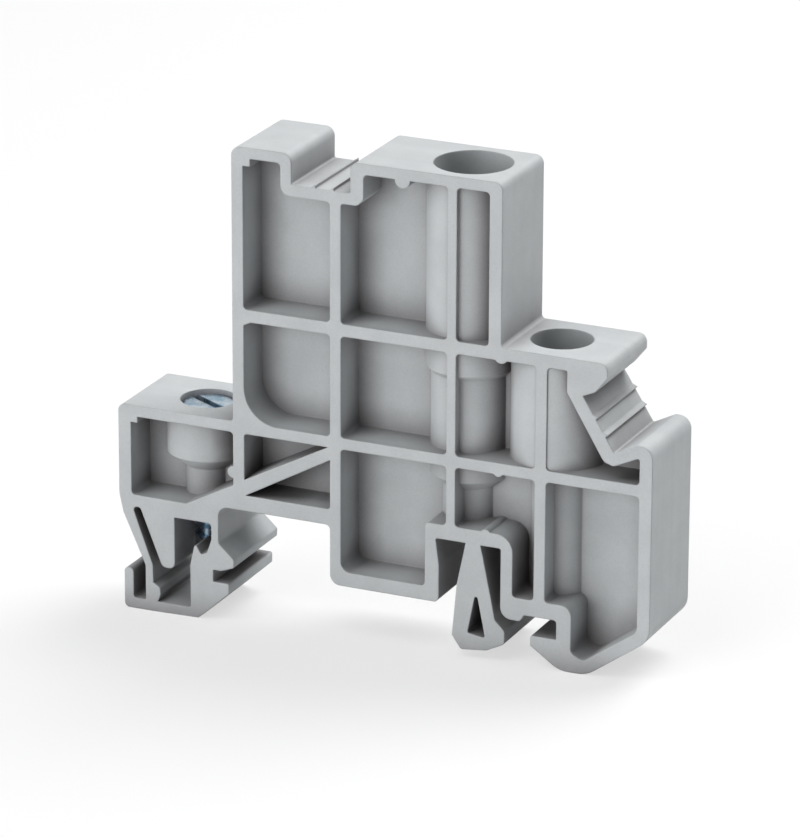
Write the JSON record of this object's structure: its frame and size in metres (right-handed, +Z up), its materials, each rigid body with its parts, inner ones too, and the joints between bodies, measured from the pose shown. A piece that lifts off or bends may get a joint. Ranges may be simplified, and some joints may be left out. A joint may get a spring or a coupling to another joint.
{
  "type": "rail end clamp",
  "caption": "Moulded end clamp for a 35 mm top hat rail: ribbed tower with two marker grooves, two round sockets, a fixed hook, a sprung hook foot and a slotted clamping screw.",
  "frame": {"origin": "middle of the seat on the rail's two flanges, halfway through the moulding's thickness", "axes": "+X across the rail towards the fixed hook, +Y along the rail through the thickness, +Z up away from the rail"},
  "size_m": [0.0544, 0.0094, 0.0474],
  "materials": {
    "moulding": "light grey polyamide, finely spark-eroded matte surface",
    "screw_steel": "zinc plated with a pale blue passivation"
  },
  "bodies": {
    "clamp": {"housing": "moulding"},
    "screw": {"clamping_screw": "screw_steel"}
  },
  "joints": [
    {"name": "screw_turn", "type": "hinge", "parent": "clamp", "child": "screw", "pos_m": [-0.0203, 0, 0.012], "axis": [0, 0, 1], "range_deg": [-360, 520]}
  ]
}
